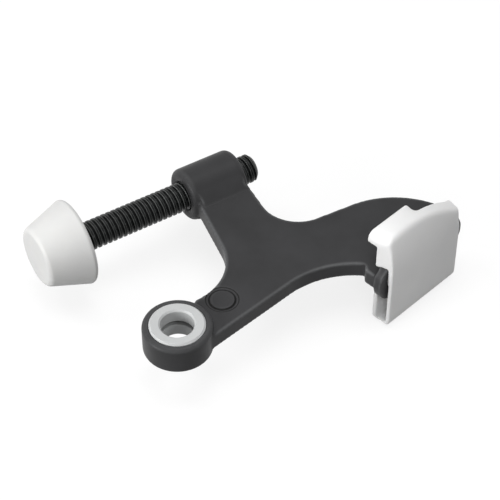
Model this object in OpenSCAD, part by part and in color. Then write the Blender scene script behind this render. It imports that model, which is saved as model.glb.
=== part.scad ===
// Hinge pin door stop. A cast arm turns on the hinge pin, a screwed bumper meets the wall side,
// and a clipped pad meets the door.
// The origin is the middle of the pin bore, +Z runs up the pin, and the bumper screw lies along X.

/* [Hinge pin eye] */
// Bore of the two bushes, for the hinge pin
pin_bore_d = 8; // [6:0.1:10]
// Height of the cast eye
eye_h = 7.6; // [7:0.1:12]
// Width of metal round the bush flange
eye_rim = 1.6; // [1:0.1:3]
// Chamfer round the eye's edges
eye_chamfer = 0.6; // [0.3:0.1:0.9]

/* [Bushes] */
// Wall of a bush's sleeve
bush_wall = 1.1; // [0.8:0.1:1.6]
// How far a bush's flange stands out from its sleeve
bush_lip = 1.5; // [1:0.1:2]
// Thickness of a bush's flange
bush_flange_t = 1.2; // [0.9:0.1:1.6]
// How far the flange stands proud of the eye
bush_proud = 0.4; // [0.3:0.1:0.8]
// Length of a bush from its outer face to its inner end
bush_l = 3.5; // [2.5:0.1:3.8]
// Chamfer at the mouth of a bush's bore
bush_chamfer = 0.4; // [0.2:0.1:0.5]

/* [Arm] */
// Thickness of the arm's web
web_t = 4.3; // [3:0.1:6]
// Distance from the pin to the bumper screw
rod_y = 39.5; // [36:0.5:46]
// Radius of the hollow between the eye and the barrel
inner_r = 14.5; // [13:0.1:16]
// Radius of the hollow between the barrel and the pad
outer_r = 9.6; // [8:0.1:11]
// Radius of the shoulder over the pad
shoulder_r = 22.1; // [21:0.1:23]
// Radius of the arch between the eye and the pad
arch_r = 22.5; // [21:0.5:24]
// Width of the round mark cast beside the eye
mark_d = 7.8; // [6:0.1:8]
// Width of the plain disc inside the mark
mark_disc_d = 5.8; // [4:0.1:5.8]
// Depth of the mark
mark_depth = 0.3; // [0.2:0.05:0.5]

/* [Barrel] */
// Distance from the pin to the barrel's near end
barrel_x = 24.5; // [24:0.5:27]
// Length of the barrel
barrel_l = 15.6; // [14:0.1:18]
// Width of the barrel
barrel_d = 13.5; // [12:0.1:15]
// Rounding of the barrel's edges
barrel_round = 1.5; // [0.8:0.1:1.8]
// How far the barrel's fillet runs out onto the web
barrel_fillet = 1.6; // [1:0.1:2.4]
// Countersink at each mouth of the barrel
barrel_sink = 0.5; // [0.2:0.1:0.8]

/* [Bumper screw] */
// Width of the screw over its thread
rod_d = 7.3; // [6:0.1:8]
// Pitch of the thread
thread_pitch = 1.4; // [1.2:0.05:2]
// Depth of the thread
thread_depth = 0.6; // [0.4:0.05:0.8]
// Length of the screw
rod_l = 56.5; // [50:0.1:62]
// Length of screw that stands out past the barrel
rod_past = 4.8; // [3:0.1:8]
// Chamfer at the screw's ends
rod_chamfer = 0.8; // [0.5:0.1:1]

/* [Bumper] */
// Length of the rubber bumper
bumper_l = 11.4; // [10.5:0.1:15]
// Width of the bumper's striking face
bumper_face_d = 15.6; // [14:0.1:18]
// Width of the bumper's rear rim
bumper_rim_d = 21.8; // [20:0.1:24]
// Rounding of the striking face's edge
bumper_face_round = 1.4; // [1:0.1:1.6]
// Rounding of the rear rim
bumper_rim_round = 0.9; // [0.5:0.1:1.2]
// Thickness of rubber in front of the screw's end
bumper_nose = 4.7; // [3:0.1:6]

/* [Pad head] */
// Distance from the pin to the middle of the pad's face, along the screw
pad_x = 63.2; // [62:0.1:64]
// Distance from the pin to the middle of the pad's face, across the screw
pad_y = 10.7; // [10:0.1:11.5]
// Turn of the pad's face from the screw
pad_turn = 13.2; // [11:0.1:15]
// Length of the cast plate that holds the pad
plate_l = 29.8; // [29:0.1:31]
// Height of the plate, whose ends are half round
plate_h = 12.5; // [11.5:0.1:13.5]
// Thickness of the plate
plate_t = 2.2; // [2:0.1:2.6]
// How far the middle of the plate and pad lies towards the arch
plate_shift = 0.7; // [0.3:0.1:1]
// How far the web's heel stands out behind the plate
plate_heel = 3.3; // [2.5:0.1:3.6]

/* [Pad] */
// Length of the pad's face
pad_l = 24.6; // [23.5:0.1:25.5]
// How far each end flares out towards the back
pad_flare = 0.9; // [0.5:0.1:1.4]
// Height of the pad
pad_h = 29; // [27:0.1:32]
// Wall of the pad
pad_wall = 1.1; // [1:0.1:1.4]
// Space in front of the cast plate
pad_front_gap = 0.4; // [0.2:0.1:0.8]
// Height of the slot at the back and ends
pad_slot_h = 9; // [8:0.1:10]
// Radius of the pad's crown, which falls towards its far end
crown_r = 30; // [28:0.5:36]
// Distance from the pad's middle to the crown's highest point
crown_u = 5.8; // [5:0.1:7]
// Rounding of the far end of the crown
crown_end_r = 1.8; // [1.4:0.1:2.4]
// Rounding of the pad's other corners
pad_round = 3; // [2:0.1:3.6]
// Rounding of the pad's upper long edges
pad_edge_r = 1.6; // [1.3:0.1:1.9]
// Radius by which the upper face leans back
lean_r = 35; // [32:1:42]
// Height at which the face starts to lean back
lean_z = 3; // [1:0.5:4]
// How far the clip tab stands out at the back
tab_t = 2.9; // [2.4:0.1:3.2]
// Height of the clip tab
tab_h = 3.8; // [3:0.1:4.5]
// Thickness of the wall that closes the upper part of each end
pad_end_t = 1.1; // [0.8:0.1:1.2]

/* [Hidden] */
// Running clearance on the radius of the screw
running = 0.05;
// Clearance round a piece that is pressed or clipped in place
seat = 0.05;
// Overrun of every cut
over = 0.5;
// Depth by which joined forms run into each other
bite = 0.8;

// Places of the web's arcs and of the mark, as shares of the sizes that carry them
inner_x_share = 0.12;
inner_y_share = 0.515;
outer_x_share = 0.4;
outer_y_share = 0.588;
shoulder_x_share = 0.886;
shoulder_y_share = 0.841;
arch_x_share = 0.546;
arch_y_share = 0.08;
mark_x_share = 1.66;
mark_y_share = 0.32;
// Reach of the web's edge down the eye, and of its end along the plate
eye_share = 0.9;
plate_share = 0.47;
// Crest and root of the thread, each as a share of its pitch
crest_share = 0.24;

bush_r = pin_bore_d / 2 + bush_wall;
flange_r = bush_r + bush_lip;
eye_r = flange_r + seat + eye_rim;
barrel_r = barrel_d / 2;
barrel_end_x = barrel_x + barrel_l;
rod_end_x = barrel_end_x + rod_past;
rod_start_x = rod_end_x - rod_l;
bumper_x = rod_start_x - bumper_nose;
bore_r = rod_d / 2 + running;
plate_w = pad_wall + pad_front_gap;
pad_depth = plate_w + plate_t + seat + pad_wall;
web_end_w = plate_w + plate_t;
inner_pos = [barrel_x - inner_r - barrel_d * inner_x_share, rod_y * inner_y_share];
outer_pos = [barrel_end_x + outer_r - web_t * outer_x_share, rod_y * outer_y_share];
shoulder_pos = [pad_x * shoulder_x_share, -pad_y * shoulder_y_share];
arch_pos = [pad_x * arch_x_share, -pad_y * arch_y_share - arch_r];
mark_pos = [eye_r * mark_x_share, eye_r * mark_y_share];

$fn = 96;

// Point at an angle and a distance from a centre
function polar(centre, r, angle) = centre + r * [cos(angle), sin(angle)];

// Points along an arc, at equal steps
function arc(centre, r, from, to, steps = 24) =
    [for (i = [0:steps]) polar(centre, r, from + (to - from) * i / steps)];

// Point of the plan that lies at u along the pad's face from its middle and w behind it
function pad_point(u, w) = [
    pad_x + (u - plate_shift) * cos(pad_turn) - w * sin(pad_turn),
    -pad_y + (u - plate_shift) * sin(pad_turn) + w * cos(pad_turn)
];

// Height of the pad's crown at u from its middle
function crown_z(u) = pad_h / 2 - crown_r + sqrt(pow(crown_r, 2) - pow(u + crown_u, 2));

// Lays children out along the bumper screw, from the distance x onwards
module along_screw(x) {
    translate([x, rod_y, 0]) rotate([0, 90, 0]) children();
}

// Lays children out at the pad: X along the face, Y behind it
module at_pad() {
    translate([pad_x, -pad_y, 0]) rotate(pad_turn) translate([-plate_shift, 0, 0]) children();
}

// Half section of a turned body from its axis to the radius r, with rounded edges
module turned_section(r, h, edge) {
    square([r - edge, h]);
    translate([0, edge]) square([r, h - 2 * edge]);
    for (y = [edge, h - edge])
        translate([r - edge, y]) circle(edge);
}

// Plan of the web: three hollows and the shoulder over the pad
module web_plan() {
    polygon(concat(
        [[barrel_x + bite, rod_y], [barrel_x + bite, rod_y - barrel_r]],
        arc(inner_pos, inner_r, -12, -90),
        [[0, 0], [0, -eye_r * eye_share]],
        arc(arch_pos, arch_r, 104, 52),
        [
            pad_point(-plate_l * plate_share, web_end_w + plate_heel),
            pad_point(-plate_l * plate_share, web_end_w - bite),
            pad_point(plate_l * plate_share, web_end_w - bite)
        ],
        arc(shoulder_pos, shoulder_r, 25, 88),
        arc(outer_pos, outer_r, -90, -180),
        [[barrel_end_x - bite, rod_y - barrel_r], [barrel_end_x - bite, rod_y]]
    ));
}

module eye() {
    rotate_extrude() {
        polygon([
            [0, -eye_h / 2],
            [eye_r - eye_chamfer, -eye_h / 2],
            [eye_r, -eye_h / 2 + eye_chamfer],
            [eye_r, eye_h / 2 - eye_chamfer],
            [eye_r - eye_chamfer, eye_h / 2],
            [0, eye_h / 2]
        ]);
    }
}

// Barrel with the fillets that join it to the web
module barrel() {
    foot = barrel_r * sin(45);
    along_screw(barrel_x) rotate_extrude()
        intersection() {
            turned_section(barrel_r, barrel_l, barrel_round);
            square([barrel_d, barrel_l]);
        }
    along_screw(barrel_x + barrel_round) linear_extrude(barrel_l - 2 * barrel_round) polygon([
        [-foot, -foot],
        [-web_t / 2, -barrel_r - barrel_fillet],
        [web_t / 2, -barrel_r - barrel_fillet],
        [foot, -foot]
    ]);
}

// Front outline of the plate, with half round ends
module plate_outline(gap) {
    r = plate_h / 2 + gap;
    square([plate_l - plate_h, 2 * r], center = true);
    for (side = [-1, 1])
        translate([side * (plate_l - plate_h) / 2, 0]) circle(r);
}

// Cast plate across the end of the web, which holds the pad
module pad_plate() {
    at_pad() translate([0, web_end_w, 0]) rotate([90, 0, 0])
        linear_extrude(plate_t) plate_outline(0);
}

// Round mark cast into the web's face, with no sign in it
module mark() {
    translate([mark_pos[0], mark_pos[1], web_t / 2 - mark_depth])
        difference() {
            cylinder(d = mark_d, h = mark_depth + over);
            cylinder(d = mark_disc_d, h = mark_depth);
        }
}

// Bores that take the bushes
module bush_seats() {
    cylinder(r = bush_r + seat, h = eye_h + 2 * over, center = true);
    for (side = [0, 1])
        mirror([0, 0, side]) translate([0, 0, eye_h / 2 + bush_proud - bush_flange_t - seat])
            cylinder(r = flange_r + seat, h = bush_flange_t + over);
}

// Bore of the barrel with its two countersinks
module screw_bore() {
    sink_r = bore_r + barrel_sink;
    along_screw(barrel_x - over) cylinder(r = bore_r, h = barrel_l + 2 * over);
    along_screw(barrel_x) rotate_extrude() polygon([[0, -over], [sink_r + over, -over], [0, sink_r]]);
    along_screw(barrel_end_x) rotate_extrude() polygon([[0, over], [sink_r + over, over], [0, -sink_r]]);
}

module arm() {
    color([0.13, 0.13, 0.14]) difference() {
        union() {
            translate([0, 0, -web_t / 2]) linear_extrude(web_t) web_plan();
            eye();
            barrel();
            pad_plate();
        }
        bush_seats();
        screw_bore();
        mark();
    }
}

// Flanged bush with its flange upwards and its outer face at z = 0
module bush() {
    rotate_extrude() polygon([
        [pin_bore_d / 2 + bush_chamfer, 0],
        [flange_r - bush_chamfer, 0],
        [flange_r, -bush_chamfer],
        [flange_r, -bush_flange_t],
        [bush_r, -bush_flange_t],
        [bush_r, -bush_l],
        [pin_bore_d / 2, -bush_l],
        [pin_bore_d / 2, -bush_chamfer]
    ]);
}

module upper_bush() {
    color([0.93, 0.93, 0.92]) translate([0, 0, eye_h / 2 + bush_proud]) bush();
}

module lower_bush() {
    color([0.93, 0.93, 0.92]) mirror([0, 0, 1]) translate([0, 0, eye_h / 2 + bush_proud]) bush();
}

// Half section of one thread: its crest, a flank, its root, and the next flank
function thread(z) = [
    [rod_d / 2, z],
    [rod_d / 2, z + thread_pitch * crest_share],
    [rod_d / 2 - thread_depth, z + thread_pitch / 2],
    [rod_d / 2 - thread_depth, z + thread_pitch * (0.5 + crest_share)]
];

// Screw with chamfered ends, whose thread is a row of ring grooves
module bumper_screw() {
    turns = floor((rod_l - 2 * rod_chamfer) / thread_pitch);
    start = (rod_l - thread_pitch * turns) / 2;
    color([0.1, 0.1, 0.11]) along_screw(rod_start_x) rotate_extrude() polygon(concat(
        [[0, 0], [rod_d / 2 - rod_chamfer, 0], [rod_d / 2, rod_chamfer]],
        [for (i = [0:turns - 1], point = thread(start + i * thread_pitch)) point],
        [[rod_d / 2, rod_l - rod_chamfer], [rod_d / 2 - rod_chamfer, rod_l], [0, rod_l]]
    ));
}

// Half section of the bumper: a cone with both edges rounded
module bumper_section() {
    face_r = bumper_face_d / 2 - bumper_face_round;
    rim_r = bumper_rim_d / 2 - bumper_rim_round;
    lean = atan((rim_r - face_r) / (bumper_l - bumper_face_round - bumper_rim_round));
    face_centre = [face_r, bumper_face_round];
    rim_centre = [rim_r, bumper_l - bumper_rim_round];
    polygon(concat(
        [[0, 0]],
        arc(face_centre, bumper_face_round, -90, -lean, 8),
        arc(rim_centre, bumper_rim_round, -lean, 90, 8),
        [[0, bumper_l]]
    ));
}

module bumper() {
    color([0.93, 0.93, 0.92]) along_screw(bumper_x) difference() {
        rotate_extrude() bumper_section();
        translate([0, 0, bumper_nose - seat]) cylinder(r = bore_r, h = bumper_l);
    }
}

// Section of the pad across its length, in Y and Z: round below, leaning back above
module pad_section(back, inset) {
    low_r = back / 2;
    top_z = pad_h / 2 - pad_edge_r;
    lean_turn = asin((top_z - lean_z) / lean_r);
    lean_w = lean_r * (1 - cos(lean_turn));
    polygon(concat(
        arc([low_r, low_r - pad_h / 2], low_r - inset, 180, 360, 12),
        arc([back - pad_edge_r, top_z], pad_edge_r - inset, 0, 90, 6),
        arc([lean_w + pad_edge_r, top_z], pad_edge_r - inset, 90, 180 - lean_turn, 6),
        arc([lean_r, lean_z], lean_r - inset, 180 - lean_turn, 180, 6)
    ));
}

// Plan of the pad: straight at the face and flared towards the back
module pad_plan(back, inset) {
    half = pad_l / 2 - inset;
    end = half + pad_flare;
    polygon([
        [-half, -over], [half, -over], [half, 0], [end, pad_depth], [end, back + over],
        [-end, back + over], [-end, pad_depth], [-half, 0]
    ]);
}

// Front outline of the pad: small corners below, and a crown that falls towards the far end
module pad_front(inset) {
    half = pad_l / 2 + pad_flare;
    low = pad_round - pad_h / 2;
    near_u = pad_round - half;
    far_u = half - crown_end_r;
    crown_pos = [-crown_u, pad_h / 2 - crown_r];
    near_turn = acos((near_u + crown_u) / crown_r);
    far_turn = acos((far_u + crown_u) / crown_r);
    near_pos = polar(crown_pos, crown_r - pad_round, near_turn);
    far_pos = polar(crown_pos, crown_r - crown_end_r, far_turn);
    polygon(concat(
        arc([half - pad_round, low], pad_round - inset, -90, 0, 8),
        arc([half - crown_end_r, far_pos[1]], crown_end_r - inset, 0, far_turn, 6),
        arc(crown_pos, crown_r - inset, far_turn, near_turn, 16),
        arc([near_u, near_pos[1]], pad_round - inset, near_turn, 180, 8),
        arc([near_u, low], pad_round - inset, 180, 270, 8)
    ));
}

// Form of the pad over a depth, or of the room inside it where the inset is more than nothing
module pad_form(back, inset, end_inset) {
    intersection() {
        rotate([90, 0, 90]) linear_extrude(2 * pad_l, center = true) pad_section(back, inset);
        linear_extrude(2 * pad_h, center = true) pad_plan(back, end_inset);
        translate([0, back + over, 0]) rotate([90, 0, 0]) linear_extrude(back + 2 * over) pad_front(inset);
    }
}

// Room inside the pad: closed by a thin wall at the upper ends, open at the lower ones
module pad_hollow() {
    pad_form(pad_depth, pad_wall, pad_end_t);
    intersection() {
        rotate([90, 0, 90]) linear_extrude(2 * pad_l, center = true) pad_section(pad_depth, pad_wall);
        translate([-pad_l, 0, -pad_h]) cube([2 * pad_l, pad_depth, pad_h]);
    }
}

module pad() {
    color([0.93, 0.93, 0.92]) at_pad() difference() {
        union() {
            pad_form(pad_depth, 0, 0);
            intersection() {
                pad_form(pad_depth + tab_t, 0, 0);
                translate([-pad_l, pad_depth / 2, pad_h / 2 - tab_h]) cube([pad_l, pad_depth + tab_t, pad_h]);
            }
        }
        pad_hollow();
        translate([-pad_l, plate_w - seat, -pad_slot_h / 2]) cube([2 * pad_l, 2 * pad_depth, pad_slot_h]);
        translate([0, plate_w - seat, 0]) rotate([-90, 0, 0])
            linear_extrude(plate_t + 2 * seat) plate_outline(seat);
    }
}

arm();
upper_bush();
lower_bush();
bumper_screw();
bumper();
pad();
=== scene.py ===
"""Looks of the hinge pin door stop: black cast arm, black screw, and white bushes, bumper and pad."""

import math

import bmesh
import bpy
import numpy as np
from mathutils import Matrix, Vector


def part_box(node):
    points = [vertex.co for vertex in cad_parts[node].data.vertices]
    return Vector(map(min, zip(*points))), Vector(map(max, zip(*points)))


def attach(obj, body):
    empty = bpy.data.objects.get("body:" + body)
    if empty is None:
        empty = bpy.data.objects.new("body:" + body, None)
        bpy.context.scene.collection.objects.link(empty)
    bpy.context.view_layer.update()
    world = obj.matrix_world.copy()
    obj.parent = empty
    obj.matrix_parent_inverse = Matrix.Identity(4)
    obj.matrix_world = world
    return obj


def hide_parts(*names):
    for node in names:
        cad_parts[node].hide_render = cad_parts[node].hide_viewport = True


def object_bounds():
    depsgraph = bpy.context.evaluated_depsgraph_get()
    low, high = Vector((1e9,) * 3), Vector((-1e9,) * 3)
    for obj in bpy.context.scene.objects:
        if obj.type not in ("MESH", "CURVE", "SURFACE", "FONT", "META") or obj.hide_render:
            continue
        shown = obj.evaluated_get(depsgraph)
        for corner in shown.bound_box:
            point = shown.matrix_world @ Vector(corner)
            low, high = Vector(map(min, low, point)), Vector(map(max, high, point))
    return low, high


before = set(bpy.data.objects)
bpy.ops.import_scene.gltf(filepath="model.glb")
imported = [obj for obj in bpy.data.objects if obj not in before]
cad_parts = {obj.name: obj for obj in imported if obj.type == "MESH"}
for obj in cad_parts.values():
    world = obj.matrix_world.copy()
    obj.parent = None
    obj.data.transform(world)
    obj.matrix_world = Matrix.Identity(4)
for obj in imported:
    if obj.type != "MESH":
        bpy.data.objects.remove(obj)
cad_low, cad_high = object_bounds()

# Camera of the photograph: its aim, its distance, and where the eye's centre falls in the 500 px picture
VIEW_TURN = math.radians(31.99)
VIEW_DROP = math.radians(45.4)
VIEW_DISTANCE = 0.4
PIXELS_PER_METRE = 4348
PICTURE = 500
EYE_PIXEL = (177.7, 335.7)
SENSOR = 36
CLIP_SHARES = (0.05, 100)

# Screw thread: its shares are of the half pitch from a crest's middle to a groove's middle
PITCH = 0.0014
THREAD_DEPTH = 0.0006
CREST_SHARE = 0.42
FLANK_SHARE = 0.4
# Width of the painted highlight line along each crest edge
LINE_SHARE = 0.16
THREAD_STEPS = 14
SCREW_SIDES = 64
SCREW_CHAMFER = 0.0008

# Round mark cast beside the eye: its place, the height that only the upper face passes, and its shaded
# rings as radius, width and tone
MARK_CENTRE = (0.01361, 0.00262)
MARK_FLOOR = 0.0017
MARK_RINGS = [
    (0.0031, 0.00045, 0.004),
    (0.0039, 0.0003, 0.012),
]

# Grain and smoothing of the remeshed casting and moulding
ARM_VOXEL = 0.00027
ARM_ROUNDS = 4
PAD_VOXEL = 0.00025
PAD_ROUNDS = 12
WELD_SHARE = 0.01
SMOOTHING = 0.5

# Painted edge highlight: a vertex's height over its neighbours that counts as a full edge, the rounds
# that even it out, and the stops between which the paler painted highlight sets in
EDGE_STAND = 0.00004
EDGE_ROUNDS = 4
EDGE_STOPS = (0.15, 0.75)

# Pad's place, its crown and its leaning face, along which the crest is softened
PAD_MIDDLE = (0.0632, -0.0107)
PAD_TURN = math.radians(13.2)
PAD_SHIFT = 0.0007
PAD_TOP = 0.0145
CROWN_R = 0.03
CROWN_U = 0.0058
LEAN_R = 0.035
LEAN_Z = 0.003
CREST_SOFT = 0.005
CREST_FULL = 0.0025
CREST_ROUNDS = 120

# Floor: its gap under the part, its size, its tone as it lights the part, and its tone and glow as seen
FLOOR_GAP = 0.0001
FLOOR_SIZE = 6
FLOOR_TONE = 0.15
FLOOR_SHOWN = 0.22
FLOOR_GLOW = 0.8
FLOOR_ROUGH = 0.9
FLOOR_SHINE = 0.1
WHITE = (1, 1, 1, 1)

# Light: the surroundings, then each lamp's name, place from the middle of what it lights, size and power
WORLD_LIGHT = 0.37
LAMPS = [
    ("key", (-0.25, 0.3, 0.5), 0.18, 0.6),
    ("top", (0.05, 0.05, 0.8), 0.5, 2.7),
    ("left", (-0.5, 0, 0.12), 0.2, 1.8),
]
PAD_LAMP = ("near_pad", (-0.035, -0.05, 0.055), 0.02, 0.014)

# Where noise reaches the low and the high end of what it drives
NOISE_STOPS = (0.3, 0.7)

# Black casting: its noise is given as scale, detail and roughness, its tones and its surface's roughness
# as low and high ends, and its bump as layers of scale, detail, strength and depth
CASTING_CLOUD = (90, 4, 0.5)
CASTING_TONES = ((0.034, 0.034, 0.035), (0.045, 0.045, 0.047))
# Paler colour of the painted highlight along the casting's edges
CASTING_EDGE_HIGHLIGHT = (0.12, 0.122, 0.125)
CASTING_SHEEN = (240, 5, 0.6)
CASTING_ROUGH = (0.34, 0.46)
CASTING_SHINE = 0.1
CASTING_BUMP = [(260, 2, 0.12, 0.0002), (1500, 3, 0.1, 0.00006)]

# Black screw, in the same terms
SCREW_CLOUD = (300, 4, 0.5)
SCREW_TONES = ((0.003, 0.004, 0.004), (0.01, 0.011, 0.011))
# Paler colour of the painted highlight along each edge of the crests
SCREW_EDGE_HIGHLIGHT = (0.12, 0.125, 0.122)
SCREW_SHEEN = (500, 4, 0.5)
SCREW_ROUGH = (0.2, 0.38)
SCREW_SHINE = 0.13
SCREW_BUMP = [(1400, 4, 0.25, 0.00008)]

# White plastic and rubber, in the same terms, with the share of light that goes inside, how far each
# colour of it goes, and each moulding's tones, middle roughness and depth of light
MOULDING_CLOUD = (70, 3, 0.5)
MOULDING_SHEEN = (350, 4, 0.5)
MOULDING_SPREAD = 0.05
MOULDING_BUMP = [(180, 2, 0.08, 0.0002), (1800, 3, 0.12, 0.00005)]
INSIDE_SHARE = 0.25
INSIDE_REACH = (1, 0.95, 0.9)
WHITE_PLASTIC = (((0.5, 0.51, 0.51), (0.54, 0.55, 0.55)), 0.4, 0.0004)
WHITE_RUBBER = (((0.62, 0.62, 0.615), (0.66, 0.66, 0.65)), 0.55, 0.002)
WHITE_PAD = (((0.77, 0.77, 0.77), (0.81, 0.81, 0.805)), 0.45, 0.0012)


def new_material(name):
    """Returns a node material, its nodes, its links and its shader."""
    mat = bpy.data.materials.new(name)
    mat.use_nodes = True
    nodes = mat.node_tree.nodes
    return mat, nodes, mat.node_tree.links, nodes["Principled BSDF"]


def noise(nodes, links, scale, detail, rough=0.5):
    """Noise over the object's own coordinates, as a 0 to 1 output."""
    place = nodes.new("ShaderNodeTexCoord")
    tex = nodes.new("ShaderNodeTexNoise")
    tex.inputs["Scale"].default_value = scale
    tex.inputs["Detail"].default_value = detail
    tex.inputs["Roughness"].default_value = rough
    links.new(place.outputs["Object"], tex.inputs["Vector"])
    return tex.outputs["Fac"]


def ramp(nodes, links, value, ends, stops):
    """Maps a 0 to 1 value onto a run between two colours or greys."""
    node = nodes.new("ShaderNodeValToRGB")
    for element, at, colour in zip(node.color_ramp.elements, stops, ends):
        element.position = at
        element.color = (*colour, 1) if isinstance(colour, tuple) else (colour, colour, colour, 1)
    links.new(value, node.inputs["Fac"])
    return node.outputs["Color"]


def uneven(nodes, links, grain, ends):
    """Run between two colours or greys that noise of the given grain drives."""
    return ramp(nodes, links, noise(nodes, links, *grain), ends, NOISE_STOPS)


def add_bump(nodes, links, shader, layers):
    """Adds noise bump to the shader from (scale, detail, strength, depth) layers, finest last."""
    previous = None
    for scale, detail, strength, depth in layers:
        bump = nodes.new("ShaderNodeBump")
        bump.inputs["Strength"].default_value = strength
        bump.inputs["Distance"].default_value = depth
        links.new(noise(nodes, links, scale, detail), bump.inputs["Height"])
        if previous is not None:
            links.new(previous, bump.inputs["Normal"])
        previous = bump.outputs["Normal"]
    links.new(previous, shader.inputs["Normal"])


def maths(nodes, links, operation, *values):
    """Result of a sum or a test on node outputs and plain numbers."""
    node = nodes.new("ShaderNodeMath")
    node.operation = operation
    for socket, value in zip(node.inputs, values):
        if isinstance(value, (int, float)):
            socket.default_value = value
        else:
            links.new(value, socket)
    return node.outputs["Value"]


def mixed(nodes, links, mask, base, colour):
    """Mixes a colour into the base where the mask is high."""
    mix = nodes.new("ShaderNodeMix")
    mix.data_type = "RGBA"
    links.new(mask, mix.inputs["Factor"])
    links.new(base, mix.inputs["A"])
    mix.inputs["B"].default_value = (*colour, 1)
    return mix.outputs["Result"]


def vectors(items, field):
    """Vectors of a mesh's vertices, as rows."""
    rows = np.empty(len(items) * 3)
    items.foreach_get(field, rows)
    return rows.reshape(-1, 3)


def write_edges(mesh, values):
    """Keeps one value a vertex as the piece's edge attribute."""
    mesh.attributes.new("edge", "FLOAT", "POINT").data.foreach_set("value", values)


def mark_edges(mesh):
    """Writes how sharply each vertex stands out from its neighbours, evened out over a few rounds."""
    places = vectors(mesh.vertices, "co")
    ends = np.empty(len(mesh.edges) * 2, dtype=np.int64)
    mesh.edges.foreach_get("vertices", ends)
    ends = ends.reshape(-1, 2)
    here = np.concatenate((ends[:, 0], ends[:, 1]))
    there = np.concatenate((ends[:, 1], ends[:, 0]))
    share = 1 / np.maximum(np.bincount(here, minlength=len(places)), 1)

    def around(values):
        """Mean of each vertex's neighbours."""
        return np.bincount(here, values[there], len(places)) * share

    beside = np.stack([around(places[:, axis]) for axis in range(3)], 1)
    stand = ((places - beside) * vectors(mesh.vertices, "normal")).sum(1)
    for _ in range(EDGE_ROUNDS):
        stand = around(stand)
    write_edges(mesh, stand / EDGE_STAND)


def painted_edge_highlight(nodes, links, base, colour):
    """Paints a highlight: a slightly paler colour mixed in where the piece's edge attribute is high."""
    source = nodes.new("ShaderNodeAttribute")
    source.attribute_name = "edge"
    mask = ramp(nodes, links, source.outputs["Fac"], (0.0, 1.0), EDGE_STOPS)
    return mixed(nodes, links, mask, base, colour)


def mark_ring(nodes, links, base, radius, width, tone):
    """Darkens the base in a thin ring round the cast mark's centre, where a groove holds shade."""
    place = nodes.new("ShaderNodeTexCoord")
    split = nodes.new("ShaderNodeSeparateXYZ")
    links.new(place.outputs["Object"], split.inputs["Vector"])
    flat = nodes.new("ShaderNodeCombineXYZ")
    links.new(split.outputs["X"], flat.inputs["X"])
    links.new(split.outputs["Y"], flat.inputs["Y"])
    span = nodes.new("ShaderNodeVectorMath")
    span.operation = "DISTANCE"
    links.new(flat.outputs["Vector"], span.inputs[0])
    span.inputs[1].default_value = (*MARK_CENTRE, 0)
    ring = maths(nodes, links, "COMPARE", span.outputs["Value"], radius, width / 2)
    above = maths(nodes, links, "GREATER_THAN", split.outputs["Z"], MARK_FLOOR)
    mask = maths(nodes, links, "MULTIPLY", ring, above)
    return mixed(nodes, links, mask, base, (tone, tone, tone))


def black_casting():
    """Satin black coat over a casting: faint cloudiness, a fine orange peel, painted edge highlights and
    painted shade in the mark.
    """
    mat, nodes, links, shader = new_material("black_casting")
    base = painted_edge_highlight(nodes, links, uneven(nodes, links, CASTING_CLOUD, CASTING_TONES), CASTING_EDGE_HIGHLIGHT)
    for ring in MARK_RINGS:
        base = mark_ring(nodes, links, base, *ring)
    links.new(base, shader.inputs["Base Color"])
    links.new(uneven(nodes, links, CASTING_SHEEN, CASTING_ROUGH), shader.inputs["Roughness"])
    shader.inputs["Specular IOR Level"].default_value = CASTING_SHINE
    add_bump(nodes, links, shader, CASTING_BUMP)
    return mat


def black_screw():
    """Black finish of the thread, with a painted highlight as a paler line along each edge of its crests.
    """
    mat, nodes, links, shader = new_material("black_screw")
    base = painted_edge_highlight(nodes, links, uneven(nodes, links, SCREW_CLOUD, SCREW_TONES), SCREW_EDGE_HIGHLIGHT)
    links.new(base, shader.inputs["Base Color"])
    links.new(uneven(nodes, links, SCREW_SHEEN, SCREW_ROUGH), shader.inputs["Roughness"])
    shader.inputs["Specular IOR Level"].default_value = SCREW_SHINE
    add_bump(nodes, links, shader, SCREW_BUMP)
    return mat


def white_moulding(name, tones, rough, depth):
    """White plastic or rubber: a trace of unevenness, light carried a little way inside, fine grain."""
    mat, nodes, links, shader = new_material(name)
    links.new(uneven(nodes, links, MOULDING_CLOUD, tones), shader.inputs["Base Color"])
    ends = (rough - MOULDING_SPREAD, rough + MOULDING_SPREAD)
    links.new(uneven(nodes, links, MOULDING_SHEEN, ends), shader.inputs["Roughness"])
    shader.inputs["Subsurface Weight"].default_value = INSIDE_SHARE
    shader.inputs["Subsurface Radius"].default_value = INSIDE_REACH
    shader.inputs["Subsurface Scale"].default_value = depth
    add_bump(nodes, links, shader, MOULDING_BUMP)
    return mat


def dress(obj, mat, body=None):
    """Gives a piece its one material, smooth faces and its body."""
    obj.data.materials.clear()
    obj.data.materials.append(mat)
    obj.data.polygons.foreach_set("use_smooth", [True] * len(obj.data.polygons))
    if body:
        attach(obj, body)


def link_mesh(name, mesh):
    """New object in the scene that shows the mesh."""
    obj = bpy.data.objects.new(name, mesh)
    bpy.context.scene.collection.objects.link(obj)
    return obj


def softened(name, node, voxel, rounds):
    """Copy of a CAD node with its edges rounded as a casting or a moulding has them."""
    rough = link_mesh(name + "_rough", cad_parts[node].data.copy())
    weld = rough.modifiers.new("weld", "WELD")
    weld.merge_threshold = voxel * WELD_SHARE
    remesh = rough.modifiers.new("remesh", "REMESH")
    remesh.mode = "VOXEL"
    remesh.voxel_size = voxel
    smooth = rough.modifiers.new("smooth", "SMOOTH")
    smooth.factor = SMOOTHING
    smooth.iterations = rounds
    shown = rough.evaluated_get(bpy.context.evaluated_depsgraph_get())
    obj = link_mesh(name, bpy.data.meshes.new_from_object(shown))
    bpy.data.objects.remove(rough)
    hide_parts(node)
    return obj


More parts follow.
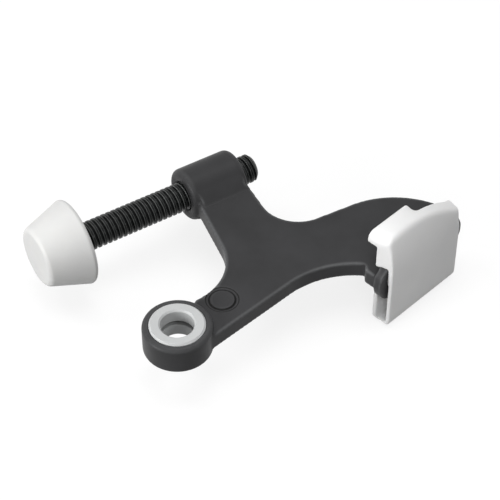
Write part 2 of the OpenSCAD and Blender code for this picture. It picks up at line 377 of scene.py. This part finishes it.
def soften_crest(pad):
    """Rounds the pad's crest, as the moulding runs its crown and its leaning face into each other."""
    group = pad.vertex_groups.new(name="crest")
    for vertex in pad.data.vertices:
        place = Matrix.Rotation(-PAD_TURN, 2) @ (vertex.co.xy - Vector(PAD_MIDDLE))
        u = place.x + PAD_SHIFT
        reach = min(abs(u + CROWN_U), CROWN_R)
        crest_z = PAD_TOP - CROWN_R + math.sqrt(CROWN_R ** 2 - reach ** 2)
        crest_w = LEAN_R - math.sqrt(LEAN_R ** 2 - max(crest_z - LEAN_Z, 0) ** 2)
        away = math.hypot(vertex.co.z - crest_z, place.y - crest_w)
        weight = (CREST_SOFT - away) / (CREST_SOFT - CREST_FULL)
        if weight > 0:
            group.add([vertex.index], min(weight, 1), "REPLACE")
    smooth = pad.modifiers.new("crest", "SMOOTH")
    smooth.factor = SMOOTHING
    smooth.iterations = CREST_ROUNDS
    smooth.vertex_group = "crest"


def thread_phase(x, angle):
    """0 in the middle of a crest and 1 in the middle of a groove."""
    return abs((x / PITCH - angle / math.tau) % 1 - 0.5) * 2


def thread_radius(radius, x, angle, length):
    """Radius of the threaded surface at a place along and round the screw."""
    groove = min(max((thread_phase(x, angle) - CREST_SHARE) / FLANK_SHARE, 0), 1)
    end = min(x, length - x)
    chamfer = max(SCREW_CHAMFER - end, 0)
    return min(radius - THREAD_DEPTH * groove, radius - chamfer)


def threaded_screw(name, node):
    """Screw with a helical groove, made as rings whose radius follows the thread."""
    low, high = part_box(node)
    radius = (high.z - low.z) / 2
    middle_y = (high.y + low.y) / 2
    length = high.x - low.x
    rings = round(length / PITCH * THREAD_STEPS)
    form = bmesh.new()
    rows = []
    crest_highlight = []
    for ring in range(rings + 1):
        x = length * ring / rings
        row = []
        for side in range(SCREW_SIDES):
            angle = math.tau * side / SCREW_SIDES
            r = thread_radius(radius, x, angle, length)
            row.append(form.verts.new((low.x + x, middle_y + r * math.cos(angle), r * math.sin(angle))))
            # Painted highlight along each edge of the crests, as a weight for the paler colour
            crest_highlight.append(max(1 - abs(thread_phase(x, angle) - CREST_SHARE) / LINE_SHARE, 0))
        rows.append(row)
    for row, after in zip(rows, rows[1:]):
        for side in range(SCREW_SIDES):
            beyond = (side + 1) % SCREW_SIDES
            form.faces.new((row[side], row[beyond], after[beyond], after[side]))
    form.faces.new(rows[0][::-1])
    form.faces.new(rows[-1])
    bmesh.ops.recalc_face_normals(form, faces=form.faces)
    mesh = bpy.data.meshes.new(name)
    form.to_mesh(mesh)
    form.free()
    write_edges(mesh, crest_highlight)
    obj = link_mesh(name, mesh)
    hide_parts(node)
    return obj


def make_camera():
    """Camera at the photograph's angle, placed so that the eye's centre falls on its pixel."""
    forward = Vector((
        math.cos(VIEW_DROP) * math.sin(VIEW_TURN),
        math.cos(VIEW_DROP) * math.cos(VIEW_TURN),
        -math.sin(VIEW_DROP),
    ))
    right = Vector((math.cos(VIEW_TURN), -math.sin(VIEW_TURN), 0))
    up = right.cross(forward)
    across = (EYE_PIXEL[0] - PICTURE / 2) / PIXELS_PER_METRE
    down = (EYE_PIXEL[1] - PICTURE / 2) / PIXELS_PER_METRE
    data = bpy.data.cameras.new("camera")
    data.sensor_width = SENSOR
    data.lens = SENSOR * PIXELS_PER_METRE * VIEW_DISTANCE / PICTURE
    data.clip_start, data.clip_end = (VIEW_DISTANCE * share for share in CLIP_SHARES)
    camera = bpy.data.objects.new("camera", data)
    bpy.context.scene.collection.objects.link(camera)
    turn = Matrix((right, up, -forward)).transposed().to_4x4()
    place = up * down - right * across - forward * VIEW_DISTANCE
    camera.matrix_world = Matrix.Translation(place) @ turn
    bpy.context.scene.camera = camera


def lamp(name, place, target, size, power):
    """Soft square lamp that looks from its place at the target."""
    data = bpy.data.lights.new(name, "AREA")
    data.shape = "SQUARE"
    data.size = size
    data.energy = power
    obj = bpy.data.objects.new(name, data)
    bpy.context.scene.collection.objects.link(obj)
    obj.location = place
    obj.rotation_mode = "QUATERNION"
    obj.rotation_quaternion = (target - place).to_track_quat("-Z", "Y")


def seen(nodes, links):
    """1 on rays that show the surroundings in the picture, and 0 on rays that light the part."""
    path = nodes.new("ShaderNodeLightPath")
    total = path.outputs["Is Camera Ray"]
    for name in ("Is Glossy Ray", "Is Transmission Ray"):
        total = maths(nodes, links, "MAXIMUM", total, path.outputs[name])
    return total


def make_world():
    """Even pale surroundings, white where the camera sees them, directly or through a shine or a lens."""
    world = bpy.data.worlds.new("studio")
    bpy.context.scene.world = world
    world.use_nodes = True
    nodes, links = world.node_tree.nodes, world.node_tree.links
    back = nodes["Background"]
    back.inputs["Color"].default_value = WHITE
    back.inputs["Strength"].default_value = WORLD_LIGHT
    shown = nodes.new("ShaderNodeBackground")
    shown.inputs["Color"].default_value = WHITE
    shown.inputs["Strength"].default_value = 1
    mix = nodes.new("ShaderNodeMixShader")
    links.new(seen(nodes, links), mix.inputs["Fac"])
    links.new(back.outputs["Background"], mix.inputs[1])
    links.new(shown.outputs["Background"], mix.inputs[2])
    links.new(mix.outputs["Shader"], nodes["World Output"].inputs["Surface"])


def make_floor():
    """Floor just under the part's lowest point, white with a soft shadow, and clear from below."""
    mat, nodes, links, shader = new_material("floor")
    shown = seen(nodes, links)
    tone = maths(nodes, links, "MULTIPLY_ADD", shown, FLOOR_SHOWN - FLOOR_TONE, FLOOR_TONE)
    links.new(tone, shader.inputs["Base Color"])
    shader.inputs["Roughness"].default_value = FLOOR_ROUGH
    shader.inputs["Specular IOR Level"].default_value = FLOOR_SHINE
    shader.inputs["Emission Color"].default_value = WHITE
    links.new(maths(nodes, links, "MULTIPLY", shown, FLOOR_GLOW), shader.inputs["Emission Strength"])
    geometry = nodes.new("ShaderNodeNewGeometry")
    clear = nodes.new("ShaderNodeBsdfTransparent")
    side = nodes.new("ShaderNodeMixShader")
    links.new(geometry.outputs["Backfacing"], side.inputs["Fac"])
    links.new(shader.outputs["BSDF"], side.inputs[1])
    links.new(clear.outputs["BSDF"], side.inputs[2])
    links.new(side.outputs["Shader"], nodes["Material Output"].inputs["Surface"])
    half = FLOOR_SIZE / 2
    level = cad_low.z - FLOOR_GAP
    mesh = bpy.data.meshes.new("floor")
    mesh.from_pydata(
        [(-half, -half, level), (half, -half, level), (half, half, level), (-half, half, level)],
        [],
        [(0, 1, 2, 3)],
    )
    floor = link_mesh("floor", mesh)
    floor.data.materials.append(mat)


make_camera()
make_world()
make_floor()

centre = (cad_low + cad_high) / 2
for name, place, size, power in LAMPS:
    lamp(name, centre + Vector(place), centre, size, power)
name, place, size, power = PAD_LAMP
pad_middle = Vector((*PAD_MIDDLE, 0))
lamp(name, pad_middle + Vector(place), pad_middle, size, power)

casting = black_casting()
plastic = white_moulding("white_plastic", *WHITE_PLASTIC)
rubber = white_moulding("white_rubber", *WHITE_RUBBER)
pad_plastic = white_moulding("white_pad", *WHITE_PAD)

arm = softened("cast_arm", "arm", ARM_VOXEL, ARM_ROUNDS)
mark_edges(arm.data)
dress(arm, casting, "arm")

pad = softened("clipped_pad", "pad", PAD_VOXEL, PAD_ROUNDS)
soften_crest(pad)
dress(pad, pad_plastic, "arm")

screw = threaded_screw("threaded_screw", "bumper_screw")
dress(screw, black_screw(), "screw")

for node in ("upper_bush", "lower_bush"):
    dress(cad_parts[node], plastic)
dress(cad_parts["bumper"], rubber)

bpy.context.scene.view_settings.view_transform = "Standard"
